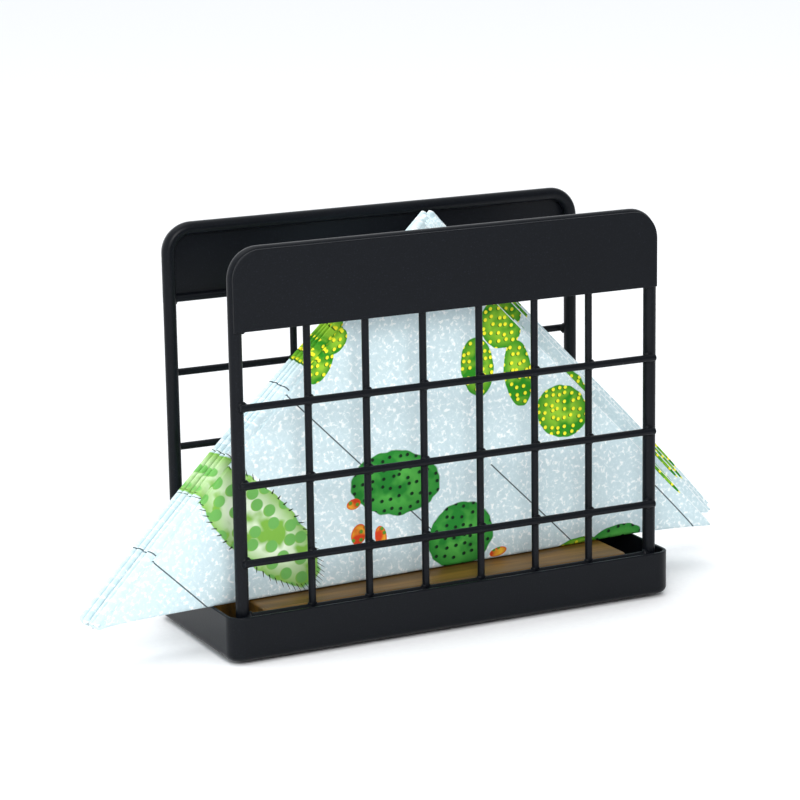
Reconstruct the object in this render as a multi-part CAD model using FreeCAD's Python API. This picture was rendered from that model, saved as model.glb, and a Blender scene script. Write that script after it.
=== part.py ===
import FreeCAD, Part
import math
import os

# Napkin dispenser: two welded wire panels standing in a pressed steel tray, with a wooden board
# between them and folded paper napkins standing on the board.
# Millimetres. +X runs along the length, the front panel is on the -Y side, +Z is up.
# The origin is on the table, under the middle of the tray.

# Pressed steel tray
tray_length = 162.0
tray_depth = 64.0
tray_height = 14.6
tray_wall = 1.2
tray_corner_radius = 5.0
tray_bottom_radius = 2.0
tray_rim_round = 0.4

# Rubber feet under the tray
foot_diameter = 10.0
foot_thickness = 1.2
foot_inset = 13.0
foot_round = 0.3

# Wire panels
holder_height = 133.4
hoop_rod = 4.3
hoop_bend_radius = 8.0
leg_end_gap = 2.65
leg_side_gap = 1.95
wire = 2.4
weld_set = 0.25
wire_end_round = 0.3

# Header band across the top of each panel
band_height = 25.6
band_sheet = 1.0
band_edge_margin = 1.3
band_edge_round = 0.25

# Upright wires and cross wires
upright_count = 6
end_column = 24.0
cross_wire_count = 3
bottom_row = 18.15
cross_wire_past_leg = 0.4

# Wooden board and its two countersunk wood screws
board_end_gap = 12.8
board_side_gap = 0.4
board_below_rim = 0.2
board_corner_radius = 2.0
board_edge_round = 0.8
screw_shank = 3.2
screw_head = 6.4
screw_length = 11.0
screw_tip = 2.5
screw_end_distance = 27.0
recess_width = 0.9
recess_length = 3.4
recess_depth = 1.1

# Napkins: square paper sheets folded in four, then across the diagonal
napkin_sheet = 332.0
napkin_thickness = 3.0
napkin_gap = 0.4
front_group = 4
rear_group = 2
group_gap = 5.3
napkin_above_rim = 0.1
napkin_shift = 4.5
stack_turn = 2.86
napkin_tip_blunt = 1.0

# Places that several pieces share
rod_radius = hoop_rod / 2
wire_radius = wire / 2
floor_z = foot_thickness + tray_wall
rim_z = foot_thickness + tray_height
leg_x = tray_length / 2 - tray_wall - leg_end_gap - rod_radius
leg_y = tray_depth / 2 - tray_wall - leg_side_gap - rod_radius
panel_face_y = leg_y + rod_radius
upright_y = panel_face_y - wire_radius
cross_wire_y = panel_face_y + wire_radius - weld_set
hoop_top_z = holder_height - rod_radius
band_bottom_z = hoop_top_z + band_edge_margin - band_height
band_wire_z = band_bottom_z + wire_radius
rail_z = rim_z - wire_radius
board_depth = 2 * (upright_y - wire_radius - board_side_gap)
board_length = tray_length - 2 * (tray_wall + board_end_gap)
board_top_z = rim_z - board_below_rim
upright_pitch = (2 * leg_x - 2 * end_column) / (upright_count - 1)
cross_wire_pitch = (band_wire_z - rail_z - bottom_row) / cross_wire_count

UP = FreeCAD.Vector(0, 0, 1)


def edges_where(shape, test):
    return [edge for edge in shape.Edges if test(edge.BoundBox)]


def is_upright(box):
    return box.ZLength > max(box.XLength, box.YLength)


def rounded_box(length, depth, bottom, top, corner_radius, bottom_radius):
    """A box centred on the Z axis, with its upright edges rounded, then its bottom edges."""
    corner = FreeCAD.Vector(-length / 2, -depth / 2, bottom)
    box = Part.makeBox(length, depth, top - bottom, corner)
    box = box.makeFillet(corner_radius, edges_where(box, is_upright))
    lowest = edges_where(box, lambda b: b.ZMax < bottom + 1e-4)
    return box.makeFillet(bottom_radius, lowest)


def rod_between(start, end, radius):
    line = end - start
    return Part.makeCylinder(radius, line.Length, start, line)


def base_tray(screws):
    outer = rounded_box(tray_length, tray_depth, foot_thickness, rim_z,
                        tray_corner_radius, tray_bottom_radius)
    inner = rounded_box(tray_length - 2 * tray_wall, tray_depth - 2 * tray_wall,
                        floor_z, rim_z + tray_height,
                        tray_corner_radius - tray_wall, tray_bottom_radius - tray_wall)
    tray = outer.cut(inner)
    rim = edges_where(tray, lambda b: b.ZMin > rim_z - 1e-4)
    tray = tray.makeFillet(tray_rim_round, rim)
    return tray.cut(screws)


def rubber_feet():
    feet = []
    for side_x in (-1, 1):
        for side_y in (-1, 1):
            centre = FreeCAD.Vector(side_x * (tray_length / 2 - foot_inset),
                                    side_y * (tray_depth / 2 - foot_inset), 0)
            foot = Part.makeCylinder(foot_diameter / 2, foot_thickness, centre, UP)
            lowest = edges_where(foot, lambda b: b.ZMax < 1e-4)
            feet.append(foot.makeFillet(foot_round, lowest))
    return Part.makeCompound(feet)


def plain_screw(x):
    """A countersunk wood screw, driven up through the tray floor: the space it fills."""
    head_height = (screw_head - screw_shank) / 2
    base = FreeCAD.Vector(x, 0, foot_thickness)
    tip_base = FreeCAD.Vector(x, 0, foot_thickness + screw_length - screw_tip)
    head = Part.makeCone(screw_head / 2, screw_shank / 2, head_height, base, UP)
    shank = Part.makeCylinder(screw_shank / 2, screw_length - screw_tip, base, UP)
    tip = Part.makeCone(screw_shank / 2, 0, screw_tip, tip_base, UP)
    return head.fuse([shank, tip]).removeSplitter()


def board_screw(x):
    """The screw with the cross recess that its driver turns."""
    screw = plain_screw(x)
    for length, depth in ((recess_length, recess_width), (recess_width, recess_length)):
        corner = FreeCAD.Vector(x - length / 2, -depth / 2, foot_thickness)
        screw = screw.cut(Part.makeBox(length, depth, recess_depth, corner))
    return screw


def insert_board(screws):
    corner = FreeCAD.Vector(-board_length / 2, -board_depth / 2, floor_z)
    board = Part.makeBox(board_length, board_depth, board_top_z - floor_z, corner)
    board = board.makeFillet(board_corner_radius, edges_where(board, is_upright))
    top = edges_where(board, lambda b: b.ZMin > board_top_z - 1e-4)
    board = board.makeFillet(board_edge_round, top)
    return board.cut(screws)


def panel_outline(offset, y, bottom):
    """The panel's upside-down U, moved outwards by offset: up one leg, over the top and down."""
    side = leg_x + offset
    top = hoop_top_z + offset
    bend = hoop_bend_radius + offset
    middle = bend * (1 - math.sqrt(0.5))
    lower_left = FreeCAD.Vector(-side, y, bottom)
    bend_left = FreeCAD.Vector(-side, y, top - bend)
    arc_left = FreeCAD.Vector(-side + middle, y, top - middle)
    top_left = FreeCAD.Vector(-side + bend, y, top)
    top_right = FreeCAD.Vector(side - bend, y, top)
    arc_right = FreeCAD.Vector(side - middle, y, top - middle)
    bend_right = FreeCAD.Vector(side, y, top - bend)
    lower_right = FreeCAD.Vector(side, y, bottom)
    return [
        Part.LineSegment(lower_left, bend_left).toShape(),
        Part.Arc(bend_left, arc_left, top_left).toShape(),
        Part.LineSegment(top_left, top_right).toShape(),
        Part.Arc(top_right, arc_right, bend_right).toShape(),
        Part.LineSegment(bend_right, lower_right).toShape(),
    ]


def front_hoop(band):
    path = Part.Wire(panel_outline(0, -leg_y, floor_z))
    start = FreeCAD.Vector(-leg_x, -leg_y, floor_z)
    section = Part.Wire([Part.makeCircle(rod_radius, start, UP)])
    return path.makePipeShell([section], True, True).cut(band)


def front_header_band():
    """Sheet steel with the hoop's own outline, welded flat against the rod's outer side."""
    face_y = -(panel_face_y - weld_set)
    side = leg_x + band_edge_margin
    lower_right = FreeCAD.Vector(side, face_y, band_bottom_z)
    lower_left = FreeCAD.Vector(-side, face_y, band_bottom_z)
    lower_edge = Part.LineSegment(lower_right, lower_left).toShape()
    outline = Part.Wire(panel_outline(band_edge_margin, face_y, band_bottom_z) + [lower_edge])
    band = Part.Face(outline).extrude(FreeCAD.Vector(0, -band_sheet, 0))
    outer = edges_where(band, lambda b: b.YMax < face_y - band_sheet + 1e-4)
    return band.makeFillet(band_edge_round, outer)


def front_level_wire(height, hoop, band):
    """A wire between the legs, in the plane of the uprights, its ends coped to the rod."""
    start = FreeCAD.Vector(-leg_x, -upright_y, height)
    end = FreeCAD.Vector(leg_x, -upright_y, height)
    return rod_between(start, end, wire_radius).cut(hoop.fuse(band))


def front_upright(index, rail, band_wire, band):
    """An upright, its ends coped to the bottom rail and to the band and the wire along it."""
    x = (index - (upright_count - 1) / 2) * upright_pitch
    start = FreeCAD.Vector(x, -upright_y, rail_z)
    end = FreeCAD.Vector(x, -upright_y, band_wire_z)
    return rod_between(start, end, wire_radius).cut(Part.makeCompound([rail, band_wire, band]))


def front_cross_wire(index, hoop, uprights):
    """A cross wire on the outer side of the legs and uprights, pressed in where it is welded.
    It ends just past the middle of each leg."""
    height = band_wire_z - (index + 1) * cross_wire_pitch
    reach = leg_x + cross_wire_past_leg
    start = FreeCAD.Vector(-reach, -cross_wire_y, height)
    rod = rod_between(start, FreeCAD.Vector(reach, -cross_wire_y, height), wire_radius)
    rod = rod.makeFillet(wire_end_round, edges_where(rod, lambda b: b.XLength < 1e-4))
    return rod.cut(Part.makeCompound([hoop] + uprights))


def napkin(shift, y):
    """The space that one folded napkin takes: a right-angled triangle standing on its long side."""
    reach = napkin_sheet / 2 / math.sqrt(2)
    base_z = rim_z + napkin_above_rim
    blunt = napkin_tip_blunt
    outline = [(-reach + blunt, 0), (reach - blunt, 0), (reach - blunt, blunt),
               (0, reach), (-reach + blunt, blunt), (-reach + blunt, 0)]
    front = y - napkin_thickness / 2
    corners = [FreeCAD.Vector(shift + px, front, base_z + pz) for px, pz in outline]
    face = Part.Face(Part.makePolygon(corners))
    solid = face.extrude(FreeCAD.Vector(0, napkin_thickness, 0))
    solid.rotate(FreeCAD.Vector(0, y, 0), UP, stack_turn)
    return solid


def napkin_places():
    """Each napkin's shift along its own plane, and the Y at which that plane crosses the middle
    of the tray. The rear group stands as far to the right as the front group does to the left."""
    count = front_group + rear_group
    pitch = napkin_thickness + napkin_gap
    step_back = group_gap - napkin_gap
    places = [i * pitch + (step_back if i >= front_group else 0) for i in range(count)]
    middle = (places[0] + places[-1]) / 2
    shifts = [-napkin_shift] * front_group + [napkin_shift] * rear_group
    return [(shift, place - middle) for shift, place in zip(shifts, places)]


def turned_to_rear(shape):
    copy = shape.copy()
    copy.rotate(FreeCAD.Vector(0, 0, 0), UP, 180)
    return copy


def build():
    screw_x = board_length / 2 - screw_end_distance
    holes = Part.makeCompound([plain_screw(-screw_x), plain_screw(screw_x)])
    band = front_header_band()
    hoop = front_hoop(band)
    rail = front_level_wire(rail_z, hoop, band)
    band_wire = front_level_wire(band_wire_z, hoop, band)
    uprights = [front_upright(i, rail, band_wire, band) for i in range(upright_count)]
    panel = {"hoop": hoop, "header_band": band, "bottom_rail": rail, "band_wire": band_wire}
    for i, upright in enumerate(uprights):
        panel[f"upright_{i + 1}"] = upright
    for i in range(cross_wire_count):
        panel[f"cross_wire_{i + 1}"] = front_cross_wire(i, hoop, uprights)

    nodes = {
        "base_tray": base_tray(holes),
        "rubber_feet": rubber_feet(),
        "insert_board": insert_board(holes),
        "board_screws": Part.makeCompound([board_screw(-screw_x), board_screw(screw_x)]),
    }
    for name, shape in panel.items():
        nodes["front_" + name] = shape
        nodes["rear_" + name] = turned_to_rear(shape)
    for i, (shift, y) in enumerate(napkin_places()):
        nodes[f"napkin_{i + 1}"] = napkin(shift, y)
    return nodes


os.makedirs("parts", exist_ok=True)
for name, shape in build().items():
    shape.exportStep(os.path.join("parts", name + ".step"))
    box = shape.BoundBox
    print(f"{name:20s} solids {len(shape.Solids)}  valid {shape.isValid()}  "
          f"volume {shape.Volume:9.1f}  x {box.XMin:7.2f} {box.XMax:7.2f}  "
          f"y {box.YMin:6.2f} {box.YMax:6.2f}  z {box.ZMin:6.2f} {box.ZMax:6.2f}")
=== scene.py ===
import math

import bmesh
import bpy
from mathutils import Matrix, Vector, noise


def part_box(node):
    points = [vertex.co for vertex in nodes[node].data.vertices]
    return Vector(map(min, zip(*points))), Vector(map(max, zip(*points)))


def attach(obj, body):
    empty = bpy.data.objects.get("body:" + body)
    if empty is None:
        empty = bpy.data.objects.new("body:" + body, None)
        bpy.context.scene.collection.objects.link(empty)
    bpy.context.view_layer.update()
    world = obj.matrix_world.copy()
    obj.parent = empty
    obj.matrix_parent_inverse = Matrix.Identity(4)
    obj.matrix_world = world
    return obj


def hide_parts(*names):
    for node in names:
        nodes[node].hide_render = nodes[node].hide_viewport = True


# A napkin holder: two welded wire panels stand in a pressed steel tray with a wooden board, and
# folded paper napkins stand on the board between them. Metres, +X along the tray, front at -Y.
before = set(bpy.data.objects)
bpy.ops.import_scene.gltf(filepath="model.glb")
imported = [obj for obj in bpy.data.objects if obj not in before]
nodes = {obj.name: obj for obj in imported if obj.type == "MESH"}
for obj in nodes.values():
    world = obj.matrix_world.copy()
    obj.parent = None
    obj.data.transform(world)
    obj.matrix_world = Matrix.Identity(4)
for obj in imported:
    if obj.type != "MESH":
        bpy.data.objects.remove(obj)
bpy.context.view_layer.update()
MM = 0.001


# ---------------------------------------------------------------------------------------------
# Base tray. One blank of 1.2 mm mild steel, drawn into a shallow tray with round corners and
# finished, with everything that is welded into it, in black satin powder coat.
# ---------------------------------------------------------------------------------------------

def linear(hex_colour):
    """An sRGB hex colour as the linear RGBA that a shader takes."""
    channels = [int(hex_colour[i:i + 2], 16) / 255 for i in (1, 3, 5)]
    return [c / 12.92 if c <= 0.04045 else ((c + 0.055) / 1.055) ** 2.4 for c in channels] + [1.0]


def add_node(tree, kind, settings=None, **links):
    """Adds a shader node. Settings name its properties or inputs, and links name its inputs,
    given as values or as another node's output. An input's number follows an underscore."""
    node = tree.nodes.new("ShaderNode" + kind)
    for name, value in (settings or {}).items():
        setattr(node, name, value)
    for name, value in links.items():
        key = int(name[1:]) if name[0] == "_" else name.replace("_", " ")
        if isinstance(value, bpy.types.NodeSocket):
            tree.links.new(value, node.inputs[key])
        else:
            node.inputs[key].default_value = value
    return node


def new_material(name):
    """An empty material with its Principled shader, for a finish to fill in."""
    material = bpy.data.materials.new(name)
    material.use_nodes = True
    return material, material.node_tree, material.node_tree.nodes["Principled BSDF"]


def colour_ramp(tree, factor, stops):
    """A ramp through (position, colour) stops."""
    ramp = add_node(tree, "ValToRGB", Fac=factor)
    elements = ramp.color_ramp.elements
    while len(elements) < len(stops):
        elements.new(0.5)
    for element, (position, colour) in zip(elements, stops):
        element.position = position
        element.color = colour
    return ramp.outputs["Color"]


def black_powder_coat():
    """Black satin polyester powder coat on steel, baked at 180 degrees: a flat dark skin with a
    fine orange peel that breaks up its reflections, and paler specks where grains stood proud."""
    material, tree, shader = new_material("powder_coated_steel")
    place = add_node(tree, "TexCoord").outputs["Object"]
    # Real grains are about 0.1 mm; 0.5 mm is the finest that shows.
    grain = add_node(tree, "TexNoise", Vector=place, Scale=1 / (0.5 * MM), Detail=3.0)
    peel = add_node(tree, "TexNoise", Vector=place, Scale=1 / (1.6 * MM), Detail=2.0)
    cloud = add_node(tree, "TexNoise", Vector=place, Scale=1 / (30 * MM), Detail=2.0)
    speck = colour_ramp(tree, grain.outputs["Fac"], [
        (0.0, linear("#090b0f")), (0.6, linear("#0c0f14")), (0.74, linear("#1a1d24"))])
    tone = add_node(tree, "MapRange", Value=cloud.outputs["Fac"], To_Min=0.85, To_Max=1.15)
    colour = add_node(tree, "VectorMath", {"operation": "SCALE"}, Vector=speck,
                      Scale=tone.outputs["Result"])
    rough = add_node(tree, "MapRange", Value=grain.outputs["Fac"], To_Min=0.27, To_Max=0.42)
    bumps = add_node(tree, "Bump", Height=peel.outputs["Fac"], Strength=0.35,
                     Distance=0.05 * MM)
    tree.links.new(colour.outputs["Vector"], shader.inputs["Base Color"])
    tree.links.new(rough.outputs["Result"], shader.inputs["Roughness"])
    tree.links.new(bumps.outputs["Normal"], shader.inputs["Normal"])
    shader.inputs["IOR"].default_value = 1.5
    shader.inputs["Specular IOR Level"].default_value = 0.13
    return material


def finish_node(name, material):
    """Puts a material on one of the design's pieces."""
    nodes[name].material_slots[0].material = material


powder_coat = black_powder_coat()
finish_node("base_tray", powder_coat)


# ---------------------------------------------------------------------------------------------
# Rubber feet. Four self-adhesive bumpers of black moulded rubber, pressed on under the tray.
# ---------------------------------------------------------------------------------------------

def moulded_rubber():
    """Black nitrile rubber from a spark-eroded mould: dull, with a fine even grain."""
    material, tree, shader = new_material("moulded_rubber")
    place = add_node(tree, "TexCoord").outputs["Object"]
    grain = add_node(tree, "TexNoise", Vector=place, Scale=1 / (0.3 * MM), Detail=2.0)
    colour = colour_ramp(tree, grain.outputs["Fac"], [
        (0.3, linear("#151515")), (0.7, linear("#242424"))])
    bumps = add_node(tree, "Bump", Height=grain.outputs["Fac"], Strength=0.4,
                     Distance=0.04 * MM)
    tree.links.new(colour, shader.inputs["Base Color"])
    tree.links.new(bumps.outputs["Normal"], shader.inputs["Normal"])
    shader.inputs["Roughness"].default_value = 0.8
    return material


finish_node("rubber_feet", moulded_rubber())


# ---------------------------------------------------------------------------------------------
# Insert board. A flat board of stained beech that fills the tray between the panels, with its
# top edges eased, and two screws through the tray's floor.
# ---------------------------------------------------------------------------------------------

def stained_beech():
    """Beech with a brown oil stain: straight grain along the board, with short dark flecks and
    a dull sheen."""
    material, tree, shader = new_material("stained_beech")
    place = add_node(tree, "TexCoord").outputs["Object"]
    along = add_node(tree, "Mapping", Vector=place, Scale=(0.06, 1.0, 1.0)).outputs["Vector"]
    rings = add_node(tree, "TexNoise", Vector=along, Scale=1 / (6 * MM), Detail=3.0,
                     Distortion=0.6)
    fibres = add_node(tree, "TexNoise", Vector=along, Scale=1 / (0.7 * MM), Detail=2.0)
    flecks = add_node(tree, "TexVoronoi", Vector=along, Scale=1 / (2.0 * MM))
    wood = colour_ramp(tree, rings.outputs["Fac"], [
        (0.25, linear("#4c3610")), (0.5, linear("#6c4c15")), (0.75, linear("#8e6620"))])
    streaks = add_node(tree, "MapRange", Value=fibres.outputs["Fac"], From_Min=0.3,
                       From_Max=0.7, To_Min=0.78, To_Max=1.12)
    dark_flecks = add_node(tree, "MapRange", Value=flecks.outputs["Distance"], From_Min=0.06,
                           From_Max=0.14, To_Min=0.7, To_Max=1.0)
    shade = add_node(tree, "Math", {"operation": "MULTIPLY"}, _0=streaks.outputs["Result"],
                     _1=dark_flecks.outputs["Result"])
    colour = add_node(tree, "VectorMath", {"operation": "SCALE"}, Vector=wood,
                      Scale=shade.outputs["Value"])
    bumps = add_node(tree, "Bump", Height=fibres.outputs["Fac"], Strength=0.3,
                     Distance=0.06 * MM)
    tree.links.new(colour.outputs["Vector"], shader.inputs["Base Color"])
    tree.links.new(bumps.outputs["Normal"], shader.inputs["Normal"])
    shader.inputs["Roughness"].default_value = 0.5
    return material


finish_node("insert_board", stained_beech())


# ---------------------------------------------------------------------------------------------
# Board screws. Two countersunk cross-head wood screws of zinc-plated steel, driven up through
# the tray's floor into the board.
# ---------------------------------------------------------------------------------------------

def zinc_plate():
    """Bright zinc plate on steel: a metal with soft milky patches that differ in shine."""
    material, tree, shader = new_material("zinc_plated_steel")
    place = add_node(tree, "TexCoord").outputs["Object"]
    patches = add_node(tree, "TexNoise", Vector=place, Scale=1 / (1.5 * MM), Detail=3.0)
    colour = colour_ramp(tree, patches.outputs["Fac"], [
        (0.3, linear("#a9abab")), (0.7, linear("#cccdca"))])
    rough = add_node(tree, "MapRange", Value=patches.outputs["Fac"], To_Min=0.22, To_Max=0.48)
    tree.links.new(colour, shader.inputs["Base Color"])
    tree.links.new(rough.outputs["Result"], shader.inputs["Roughness"])
    shader.inputs["Metallic"].default_value = 1.0
    return material


finish_node("board_screws", zinc_plate())


# ---------------------------------------------------------------------------------------------
# Wire panels. Each is a hoop of 4.3 mm rod with a sheet band welded across its top, and 2.4 mm
# wires resistance-welded where they cross. The powder coat fills the corners of every weld.
# ---------------------------------------------------------------------------------------------

SIDES = ("front", "rear")
UPRIGHTS = range(1, 7)
CROSS_WIRES = range(1, 4)
ROD_RADIUS = 2.15 * MM
WIRE_RADIUS = 1.2 * MM
# Half sizes of each kind of weld bead, in millimetres.
BEADS = {
    "cross_wire_on_upright": (1.95, 0.7, 1.95),
    "cross_wire_on_leg": (2.1, 0.9, 2.0),
    "upright_on_rail": (1.75, 1.25, 0.8),
    "upright_on_band": (1.6, 1.2, 0.7),
    "rail_on_leg": (1.1, 1.5, 1.9),
    "band_on_leg": (0.9, 1.0, 0.9),
}
LEG_BEAD_INWARD = 0.9 * MM
LEG_BEAD_SUNK = 0.4 * MM
FOOT_BEAD = 0.7 * MM
FOOT_BEAD_SIDES = 8
FOOT_BEAD_STEPS = 24


def middle_of(node):
    """The middle of a node's box."""
    low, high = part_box(node)
    return (Vector(low) + Vector(high)) / 2


def piece_from(name, mesh_builder, *materials):
    """Turns a bmesh into an object at the origin, with its materials."""
    data = bpy.data.meshes.new(name)
    mesh_builder.to_mesh(data)
    mesh_builder.free()
    for material in materials:
        data.materials.append(material)
    piece = bpy.data.objects.new(name, data)
    bpy.context.scene.collection.objects.link(piece)
    return piece


def add_bead(welds, place, kind):
    """A low lump of weld metal under its paint: a ball, pressed to the size of its kind."""
    press = Matrix.LocRotScale(place, None, Vector(BEADS[kind]) * MM)
    bmesh.ops.create_icosphere(welds, subdivisions=2, radius=1.0, matrix=press)


def add_foot_bead(welds, place):
    """A fillet weld all round the foot of a leg."""
    sides = range(FOOT_BEAD_SIDES)
    angles = [math.tau * i / FOOT_BEAD_SIDES for i in sides]
    start = [welds.verts.new(place + Vector((ROD_RADIUS + FOOT_BEAD * math.cos(angle), 0,
                                             FOOT_BEAD * math.sin(angle)))) for angle in angles]
    edges = [welds.edges.new((start[i], start[(i + 1) % FOOT_BEAD_SIDES])) for i in sides]
    bmesh.ops.spin(welds, geom=start + edges, cent=place, axis=(0, 0, 1), angle=math.tau,
                   steps=FOOT_BEAD_STEPS, use_merge=True)


def panel_welds(side):
    """All the weld beads of one panel, as one piece that rides with the holder."""
    welds = bmesh.new()
    outward = -1 if side == "front" else 1
    hoop_low, hoop_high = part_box(f"{side}_hoop")
    legs = [hoop_low[0] + ROD_RADIUS, hoop_high[0] - ROD_RADIUS]
    leg_y = (hoop_low[1] + hoop_high[1]) / 2
    uprights = [middle_of(f"{side}_upright_{i}").x for i in UPRIGHTS]
    upright_y = middle_of(f"{side}_upright_1").y
    face_y = leg_y + outward * ROD_RADIUS
    for i in CROSS_WIRES:
        level = middle_of(f"{side}_cross_wire_{i}").z
        for x in uprights:
            add_bead(welds, Vector((x, face_y, level)), "cross_wire_on_upright")
        for x in legs:
            inner = x - math.copysign(LEG_BEAD_INWARD, x)
            add_bead(welds, Vector((inner, face_y - outward * LEG_BEAD_SUNK, level)),
                     "cross_wire_on_leg")
    rail_z = middle_of(f"{side}_bottom_rail").z
    band_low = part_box(f"{side}_header_band")[0][2]
    for x in uprights:
        add_bead(welds, Vector((x, upright_y, rail_z + WIRE_RADIUS)), "upright_on_rail")
        add_bead(welds, Vector((x, upright_y, band_low)), "upright_on_band")
    for x in legs:
        inside = x - math.copysign(ROD_RADIUS, x)
        add_bead(welds, Vector((inside, upright_y, rail_z)), "rail_on_leg")
        add_bead(welds, Vector((inside, upright_y, band_low)), "band_on_leg")
        add_foot_bead(welds, Vector((x, leg_y, hoop_low[2])))
    bmesh.ops.recalc_face_normals(welds, faces=welds.faces)
    for face in welds.faces:
        face.smooth = True
    piece = piece_from(f"{side}_welds", welds, powder_coat)
    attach(piece, "holder")


for side in SIDES:
    for part in ("hoop", "header_band", "bottom_rail", "band_wire"):
        finish_node(f"{side}_{part}", powder_coat)
    for i in UPRIGHTS:
        finish_node(f"{side}_upright_{i}", powder_coat)
    for i in CROSS_WIRES:
        finish_node(f"{side}_cross_wire_{i}", powder_coat)
    panel_welds(side)


# ---------------------------------------------------------------------------------------------
# Napkins. Soft embossed tissue, 33 cm square, printed on its outer side, folded in four and
# then across the diagonal, so that eight layers stand on their last fold.
# ---------------------------------------------------------------------------------------------

SHEET = 332 * MM
HALF = SHEET / 2
LAYER = 0.36 * MM
LAYERS = 8
TISSUE = 0.26 * MM
MIDDLE_LAYER = (LAYERS - 1) / 2 * LAYER
EMBOSS_PITCH = 1.1 * MM
# The print is drawn in millimetres along the long side, from the closed corner, and above it.
# Each line: where it would meet the base, and the height at which it starts.
LINES = ((40, 117), (136, 117), (178.5, 34), (227.5, 18))
# Each ink: its rim, heart and dots, a dot's shadow, the dots' spacing, their size as a share of
# that, and whether it has spines.
INKS = {
    "pale": ("#7fb648", "#e2efd6", "#6fb25a", "#7fb648", 6.0, 0.31, True),
    "deep": ("#23802e", "#55b04a", "#0c2412", "#1f6a2c", 3.4, 0.15, False),
    "bright": ("#2a8c1c", "#93c634", "#f7f032", "#2c5a12", 2.7, 0.21, False),
    "fruit": ("#d2401c", "#f6d23a", "#5d8f2a", "#d2401c", 3.0, 0.2, False),
}
# Each pad: its ink, the place of its middle, half its length and width, and its slant.
PADS = (
    ("pale", 57.2, 26, 30, 11.2, -47), ("bright", 80, 77, 7.0, 4.2, 65),
    ("bright", 86, 84, 4.5, 3.5, 60),
    ("deep", 108, 33, 17, 11, -8), ("deep", 132.5, 11, 12.5, 11.5, 20),
    ("deep", 194, 0, 11, 5.0, 8), ("bright", 179, 0, 8.0, 3.0, 4),
    ("bright", 138.8, 68.5, 10.3, 6.2, 100), ("bright", 147.3, 82, 9.0, 7.3, -50),
    ("bright", 154.6, 64.5, 12.0, 5.3, 100), ("bright", 172, 49, 10.5, 8.8, -35),
    ("bright", 213.5, 20.6, 10.0, 0.6, -45),
    ("fruit", 92, 28, 2.6, 1.8, 10), ("fruit", 93.7, 17.4, 3.6, 2.8, 70),
    ("fruit", 102, 15.3, 3.8, 2.2, 100), ("fruit", 147, 3, 3.4, 1.6, 10),
)
# Half a line's width at its soft edge and at full ink, and how far a dot's shadow is shifted.
LINE_EDGE = 0.42
LINE_INK = 0.2
SHADOW_SHIFT = (0.35, 0.1, 0.0)
# Spines start just inside a pad's outline. A greater gap makes them thinner.
SPINE_FOOT = 0.95
SPINE_GAP = 0.84
SPINE_LENGTH = 16
OUTLINE_WOBBLE = 0.12


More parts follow.
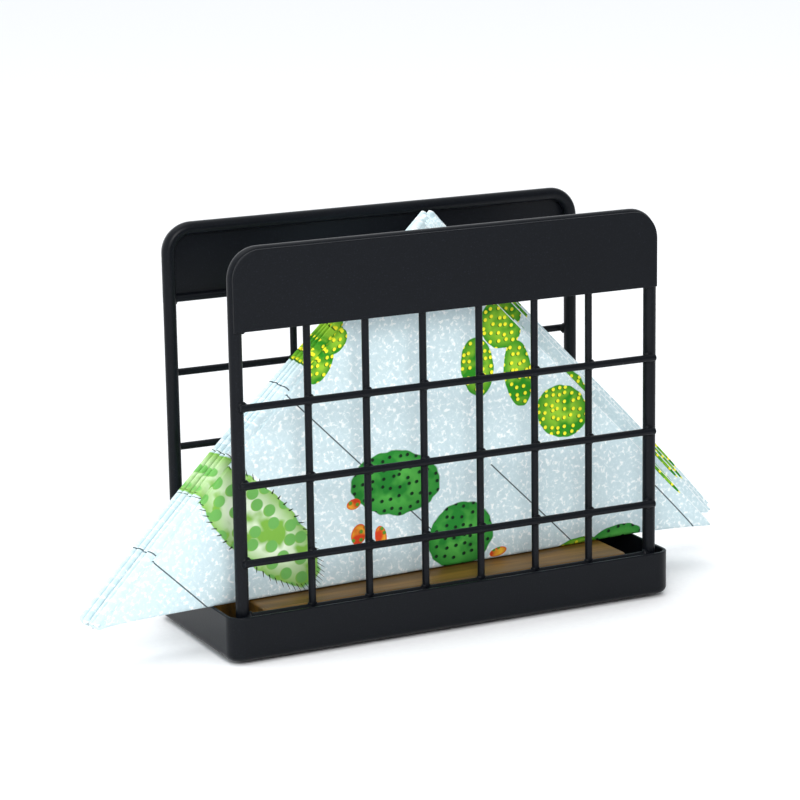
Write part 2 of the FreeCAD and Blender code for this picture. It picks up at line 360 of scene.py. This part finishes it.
def printed_tissue():
    """Two-ply bleached tissue, embossed by a pin roller and printed in water-based inks: matt,
    pale blue with white flecks, plump dotted leaves and a few fine dark lines."""
    material, tree, shader = new_material("printed_tissue")
    flat = add_node(tree, "UVMap", {"uv_map": "flat_sheet"}).outputs["UV"]
    centred = add_node(tree, "VectorMath", {"operation": "SUBTRACT"}, _0=flat,
                       _1=(0.5, 0.5, 0.0)).outputs["Vector"]
    quarter = add_node(tree, "VectorMath", {"operation": "ABSOLUTE"}, _0=centred)
    turned = add_node(tree, "Mapping", Vector=quarter.outputs["Vector"],
                      Rotation=(0, 0, math.radians(-45)), Scale=(SHEET / MM,) * 3)
    drawing = add_node(tree, "VectorMath", {"operation": "ABSOLUTE"},
                       _0=turned.outputs["Vector"]).outputs["Vector"]

    # Paper: pale blue with white flecks a millimetre or two across.
    fleck = add_node(tree, "TexNoise", Vector=flat, Scale=SHEET / (1.6 * MM), Detail=3.0,
                     Roughness=0.6, Distortion=0.4)
    cloud = add_node(tree, "TexNoise", Vector=flat, Scale=SHEET / (30 * MM), Detail=2.0)
    paper = colour_ramp(tree, fleck.outputs["Fac"], [
        (0.35, linear("#c6dadf")), (0.54, linear("#cde0e5")), (0.64, linear("#f4fafa"))])
    mottle = add_node(tree, "MapRange", Value=cloud.outputs["Fac"], To_Min=0.96, To_Max=1.04)
    colour = add_node(tree, "VectorMath", {"operation": "SCALE"}, Vector=paper,
                      Scale=mottle.outputs["Result"]).outputs["Vector"]

    def math_node(operation, first, second=0.5):
        """One step of arithmetic on the drawing."""
        return add_node(tree, "Math", {"operation": operation}, _0=first,
                        _1=second).outputs["Value"]

    def paint(under, over, mask):
        """Lays one ink over another where the mask is 1."""
        mix = add_node(tree, "Mix", {"data_type": "RGBA"}, Factor=mask, _6=under, _7=over)
        return mix.outputs[2]

    axes = add_node(tree, "SeparateXYZ", Vector=drawing)
    rise = math_node("ADD", axes.outputs["X"], axes.outputs["Y"])
    for line, start in LINES:
        off = math_node("ABSOLUTE", math_node("SUBTRACT", rise, float(line)))
        stroke = add_node(tree, "MapRange", Value=off, From_Min=LINE_EDGE,
                          From_Max=LINE_INK)
        drawn = math_node("MULTIPLY", stroke.outputs["Result"],
                          math_node("LESS_THAN", axes.outputs["Y"], float(start)))
        colour = paint(colour, linear("#3c4a50"), drawn)

    def dots_of(place, spacing, size):
        """Round dots, a little out of line."""
        cells = add_node(tree, "TexVoronoi", {"voronoi_dimensions": "2D"}, Vector=place,
                         Scale=1 / spacing, Randomness=0.55)
        return add_node(tree, "MapRange", Value=cells.outputs["Distance"],
                        From_Min=size + 0.05, From_Max=size).outputs["Result"]

    beside = add_node(tree, "VectorMath", {"operation": "ADD"}, _0=drawing, _1=SHADOW_SHIFT)
    # The scales of these two are per millimetre.
    wobble = add_node(tree, "TexNoise", Vector=drawing, Scale=0.3, Detail=0.0).outputs["Fac"]
    wash = add_node(tree, "TexNoise", Vector=drawing, Scale=0.11, Detail=2.0).outputs["Fac"]
    for name, (rim, heart, dot, shadow, spacing, size, spiny) in INKS.items():
        nearest = None
        spines = None
        for pad in (pad for pad in PADS if pad[0] == name):
            _, x, height, length, width, slant = pad
            local = add_node(tree, "Mapping", {"vector_type": "TEXTURE"}, Vector=drawing,
                             Location=(x, height, 0), Rotation=(0, 0, math.radians(slant)),
                             Scale=(length, width, 1.0)).outputs["Vector"]
            reach = add_node(tree, "VectorMath", {"operation": "LENGTH"}, _0=local)
            reach = reach.outputs["Value"]
            nearest = reach if nearest is None else math_node("MINIMUM", nearest, reach)
            if spiny:
                around = add_node(tree, "SeparateXYZ", Vector=local)
                angle = math_node("ARCTAN2", around.outputs["Y"], around.outputs["X"])
                teeth = math_node("SINE", math_node("MULTIPLY", angle, round(length * 2)))
                tip = math_node("MULTIPLY", math_node("SUBTRACT", teeth, SPINE_GAP),
                                SPINE_LENGTH / length)
                edge = math_node("SUBTRACT", math_node("ADD", 1.0, tip), reach)
                spike = math_node("MULTIPLY", math_node("GREATER_THAN", edge, 0.0),
                                  math_node("GREATER_THAN", reach, SPINE_FOOT))
                spines = spike if spines is None else math_node("MAXIMUM", spines, spike)
        outline = math_node("ADD", nearest, math_node("MULTIPLY", math_node(
            "SUBTRACT", wobble, 0.5), OUTLINE_WOBBLE))
        inside = add_node(tree, "MapRange", Value=outline, From_Min=1.01, From_Max=0.98)
        shade = add_node(tree, "MapRange", Value=outline, From_Min=0.4, From_Max=1.0)
        patch = add_node(tree, "MapRange", Value=wash, From_Min=0.42, From_Max=0.58)
        leaf = paint(linear(heart), linear(rim), math_node(
            "MAXIMUM", shade.outputs["Result"], patch.outputs["Result"]))
        leaf = paint(leaf, linear(shadow), dots_of(beside.outputs["Vector"], spacing, size))
        leaf = paint(leaf, linear(dot), dots_of(drawing, spacing, size))
        colour = paint(colour, leaf, inside.outputs["Result"])
        if spines is not None:
            colour = paint(colour, linear("#26331f"), spines)

    # The embossing roller's pins, and the crumple between them.
    pins = add_node(tree, "TexVoronoi", Vector=flat, Scale=SHEET / EMBOSS_PITCH)
    crumple = add_node(tree, "TexNoise", Vector=flat, Scale=SHEET / (3.5 * MM), Detail=3.0)
    relief = math_node("ADD", pins.outputs["Distance"], crumple.outputs["Fac"])
    bumps = add_node(tree, "Bump", Height=relief, Strength=0.5, Distance=0.12 * MM)
    tree.links.new(colour, shader.inputs["Base Color"])
    tree.links.new(bumps.outputs["Normal"], shader.inputs["Normal"])
    shader.inputs["Roughness"].default_value = 0.9
    shader.inputs["Specular IOR Level"].default_value = 0.25
    return material


def plain_tissue():
    """The inner ply, unprinted: the same embossed tissue, bleached white."""
    material, tree, shader = new_material("plain_tissue")
    flat = add_node(tree, "UVMap", {"uv_map": "flat_sheet"}).outputs["UV"]
    fibres = add_node(tree, "TexNoise", Vector=flat, Scale=SHEET / (2.6 * MM), Detail=4.0)
    pins = add_node(tree, "TexVoronoi", Vector=flat, Scale=SHEET / EMBOSS_PITCH)
    colour = colour_ramp(tree, fibres.outputs["Fac"], [
        (0.3, linear("#dbe8eb")), (0.7, linear("#f4f9fa"))])
    bumps = add_node(tree, "Bump", Height=pins.outputs["Distance"], Strength=0.5,
                     Distance=0.12 * MM)
    tree.links.new(colour, shader.inputs["Base Color"])
    tree.links.new(bumps.outputs["Normal"], shader.inputs["Normal"])
    shader.inputs["Roughness"].default_value = 0.9
    return material


CELLS = 56
# How far apart the cuts are at the two square folds, on the outer side of the second one and at
# the last fold, and how far the outermost cuts stand in from the sheet's edges.
SQUARE_CUT = 0.15 * MM
OUTER_CUT = 0.3 * MM
SLANT_CUT = 0.35 * MM
HEM = 0.4 * MM


def score(sheet, direction, distances):
    """Cuts the flat sheet along lines square to the direction, so that it can bend there."""
    for distance in distances:
        every = sheet.verts[:] + sheet.edges[:] + sheet.faces[:]
        bmesh.ops.bisect_plane(sheet, geom=every, dist=1e-7, plane_co=direction * distance,
                               plane_no=direction)


def fold(s, w, top):
    """Rolls the part with s below 0 over onto the layers under top: s is the distance from the
    crease and w the height in the stack. The paper keeps its length round the bend."""
    centre = top + LAYER / 2
    radius = centre - w
    turned = -s / radius
    if turned <= 0:
        return s, w
    if turned < math.pi:
        return -radius * math.sin(turned), centre - radius * math.cos(turned)
    return -s - math.pi * radius, centre + radius


def scored_sheet():
    """A flat sheet, cut finely where it will be folded and just inside its edges."""
    sheet = bmesh.new()
    bmesh.ops.create_grid(sheet, x_segments=CELLS, y_segments=CELLS, size=HALF)
    across, up = Vector((1, 0, 0)), Vector((0, 1, 0))
    score(sheet, across, [-SQUARE_CUT * i for i in range(5)])
    score(sheet, up, [-SQUARE_CUT * i for i in range(5)] + [-OUTER_CUT * i for i in range(3, 7)])
    for direction in (across + up).normalized(), (across - up).normalized():
        score(sheet, direction, [SLANT_CUT * i for i in range(-9, 10)])
    for direction in across, up:
        score(sheet, direction, [side * (HALF - HEM) for side in (-1, 1)])
    many = [face for face in sheet.faces if len(face.verts) > 4]
    bmesh.ops.triangulate(sheet, faces=many)
    return sheet


STACK_TURN = math.radians(2.86)
# The folded edge: how far its nested layers swell out and the loose ones draw back, how far in
# that reaches, and the share of the thickness that is pressed out there and along the base.
SWELL = 2.9
DRAW_BACK = 2.2
SWELL_DEPTH = 1.8 * MM
NESTED_MIDDLE = 5.5 * LAYER
NESTED_REACH = 2.2 * LAYER
NESTED_SPREAD = 0.5
EDGE_PRESS = 0.15
BASE_PRESS = 0.28
EDGE_DEPTH = 0.9 * MM
BASE_DEPTH = 4 * MM
FAN_DEPTH = 9 * MM
# The tips droop past this distance from the middle, by so many millimetres at their far ends.
TIPS_START = 78 * MM
TIPS_LENGTH = 42 * MM
OPEN_DROOP = 2.6
CLOSED_DROOP = 0.9
# The stack's shared ripple and each napkin's own crumple: their depth, and waves per metre.
RIPPLE = 0.5 * MM
RIPPLE_RATE = 22
RIPPLE_SEED = 4.0
CRUMPLE = 0.06 * MM
CRUMPLE_RATE = 90
SEED_STEP = 7.3


def folded_napkin(name, skew, slip, fan, slide, lean, rise, seed):
    """Folds one sheet. Skew and slip say how far off the diagonal the last fold is, and fan is
    how far its open corner spreads. It is slid along the board, and its top corner leans to the
    right and stands higher by the sizes given."""
    sheet = scored_sheet()
    flat = sheet.loops.layers.uv.new("flat_sheet")
    for face in sheet.faces:
        face.smooth = True
        for loop in face.loops:
            loop[flat].uv = (loop.vert.co.x / SHEET + 0.5, loop.vert.co.y / SHEET + 0.5)
    for edge in sheet.edges:
        edge.smooth = not edge.is_boundary
    low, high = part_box(name)
    centre = (Vector(low) + Vector(high)) / 2
    diagonal = SHEET / math.sqrt(2)
    ground = low[2] + MIDDLE_LAYER + TISSUE / 2
    for vert in sheet.verts:
        x, w = fold(vert.co.x, 0.0, 0.0)
        y, w = fold(vert.co.y, w, LAYER)
        along = (x + y) / math.sqrt(2)
        height = (y - x) / math.sqrt(2) + skew * (along - diagonal / 2) + slip
        radius = MIDDLE_LAYER - w
        height, w = fold(height - math.pi * radius / 2, w, 3 * LAYER)
        # The four nested layers at the back spread into one plump folded edge. The loose pairs
        # in front of them draw back from it.
        to_edge = max(0.0, along - height) / math.sqrt(2)
        nested = min(1.0, abs(w - NESTED_MIDDLE) / NESTED_REACH)
        swell = (SWELL * math.cos(math.pi / 2 * nested) - DRAW_BACK) * MM
        swell *= math.exp(-to_edge / SWELL_DEPTH)
        pressed = EDGE_PRESS * math.exp(-to_edge / EDGE_DEPTH)
        pressed += BASE_PRESS * math.exp(-max(0.0, height) / BASE_DEPTH)
        along -= swell / math.sqrt(2)
        height += swell / math.sqrt(2)
        depth = (w - MIDDLE_LAYER) * (1 - min(BASE_PRESS, pressed))
        if w > MIDDLE_LAYER:
            spread = NESTED_SPREAD * (w - NESTED_MIDDLE) - LAYER
            depth += spread * math.exp(-to_edge / EDGE_DEPTH)
        # Open edges spread at the far corner.
        to_corner = (diagonal - along - max(0.0, height)) / math.sqrt(2)
        depth += fan * (w / MIDDLE_LAYER - 1) * math.exp(-max(0.0, to_corner) / FAN_DEPTH)
        place = Vector((along - diagonal / 2 + slide, depth, ground + height))
        # The tips that stand out past the tray droop, the open one more.
        overhang = max(0.0, abs(place.x + centre.x) - TIPS_START)
        droop = OPEN_DROOP if place.x > 0 else CLOSED_DROOP
        place.z -= droop * MM * (overhang / TIPS_LENGTH) ** 2
        share = max(0.0, height) / (diagonal / 2)
        place.x += lean * share ** 3
        place.z += rise * share
        ripple = noise.noise(Vector((place.x * RIPPLE_RATE, place.z * RIPPLE_RATE,
                                     RIPPLE_SEED)))
        place.y += RIPPLE * ripple
        crumple = noise.noise(Vector((place.x * CRUMPLE_RATE, place.z * CRUMPLE_RATE, seed)))
        place.y += CRUMPLE * crumple
        vert.co = place
    bmesh.ops.rotate(sheet, verts=sheet.verts, cent=(0, 0, 0),
                     matrix=Matrix.Rotation(STACK_TURN, 3, "Z"))
    bmesh.ops.translate(sheet, verts=sheet.verts, vec=(centre.x, centre.y, 0))
    return sheet


tissue = printed_tissue()
inner_ply = plain_tissue()
# Each napkin's last fold is a little off and no two stand alike. In order: the fold's skew, then
# in millimetres its slip, the spread of the open corner, the slide, the lean and the rise.
FOLDS = (
    (0.004, -0.3, 0.8, 0.5, 2.6, -1.6), (0.000, 0.3, 0.1, 0.2, 5.0, -0.6),
    (0.006, 0.6, 0.0, -0.2, 8.5, -0.5), (-0.002, 0.2, -0.2, -0.6, 10.5, -1.0),
    (0.004, 0.4, 0.3, 2.5, 2.2, -1.2), (-0.004, 0.0, 0.9, 6.5, 2.9, -2.4),
)
for i, (skew, *sizes) in enumerate(FOLDS):
    node = f"napkin_{i + 1}"
    paper = folded_napkin(node, skew, *(size * MM for size in sizes), i * SEED_STEP)
    napkin = piece_from(f"folded_{node}", paper, tissue, inner_ply)
    skin = napkin.modifiers.new("tissue", "SOLIDIFY")
    skin.thickness = TISSUE
    skin.offset = 0.0
    skin.material_offset = 1
    skin.material_offset_rim = 1
    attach(napkin, node)
    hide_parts(node)


# ---------------------------------------------------------------------------------------------
# Floor, light and camera: a white table in a light tent that is brightest behind, with a broad
# lamp above and a smaller key lamp in front, a little to the left.
# ---------------------------------------------------------------------------------------------

def white_card():
    """Matt white card with a faint tooth."""
    material, tree, shader = new_material("white_card")
    place = add_node(tree, "TexCoord").outputs["Object"]
    tooth = add_node(tree, "TexNoise", Vector=place, Scale=1 / (2 * MM), Detail=2.0)
    colour = colour_ramp(tree, tooth.outputs["Fac"], [
        (0.2, linear("#f3f3f4")), (0.8, linear("#f8f8f8"))])
    tree.links.new(colour, shader.inputs["Base Color"])
    shader.inputs["Roughness"].default_value = 0.9
    shader.inputs["Specular IOR Level"].default_value = 0.1
    return material


def add_lamp(name, place, aim, size, power):
    """A round softbox at a place, turned to its aim. Its size is in metres, its power in watts."""
    light = bpy.data.lights.new(name, "AREA")
    light.shape = "DISK"
    light.size = size
    light.energy = power
    lamp = bpy.data.objects.new(name, light)
    bpy.context.scene.collection.objects.link(lamp)
    lamp.location = place
    lamp.rotation_euler = (Vector(aim) - Vector(place)).to_track_quat("-Z", "Y").to_euler()


table = bmesh.new()
bmesh.ops.create_grid(table, x_segments=1, y_segments=1, size=12.0)
floor = piece_from("table_top", table, white_card())

DAYLIGHT = (0.95, 0.975, 1.0, 1.0)
EVEN_LIGHT = 1.05
BRIGHTER_TOWARDS = (-0.38, 0.65, 0.0)
world = bpy.data.worlds.new("light_tent")
world.use_nodes = True
tent = world.node_tree
backdrop = tent.nodes["Background"]
backdrop.inputs["Color"].default_value = DAYLIGHT
direction = add_node(tent, "TexCoord").outputs["Generated"]
slope = add_node(tent, "VectorMath", {"operation": "DOT_PRODUCT"}, _0=direction,
                 _1=BRIGHTER_TOWARDS).outputs["Value"]
strength = add_node(tent, "Math", {"operation": "ADD"}, _0=slope, _1=EVEN_LIGHT)
tent.links.new(strength.outputs["Value"], backdrop.inputs["Strength"])
bpy.context.scene.world = world
bpy.context.scene.view_settings.view_transform = "Standard"

add_lamp("top_softbox", place=(-0.25, 0.1, 1.5), aim=(0, 0, 0), size=1.4, power=8.0)
add_lamp("key_lamp", place=(-0.14, -0.4, 0.3), aim=(-0.04, 0, 0.07), size=0.22, power=1.3)

# The camera stands to the left of the front and a little above, far off with a long lens.
AZIMUTH = math.radians(-26.31)
ELEVATION = math.radians(12.90)
ROLL = math.radians(-0.89)
DISTANCE = 0.97
FOCAL_LENGTH = 131.6
LOOK_AT = Vector((-0.0043, 0.0013, 0.0715))
back = Vector((math.sin(AZIMUTH) * math.cos(ELEVATION), -math.cos(AZIMUTH) * math.cos(ELEVATION),
               math.sin(ELEVATION)))
right = Vector((math.cos(AZIMUTH), math.sin(AZIMUTH), 0))
level = Matrix((right, back.cross(right), back)).transposed()
lens = bpy.data.cameras.new("camera")
lens.lens = FOCAL_LENGTH
lens.sensor_width = 36.0
camera = bpy.data.objects.new("camera", lens)
bpy.context.scene.collection.objects.link(camera)
camera.rotation_euler = (level @ Matrix.Rotation(ROLL, 3, "Z")).to_euler()
camera.location = LOOK_AT + back * DISTANCE
bpy.context.scene.camera = camera
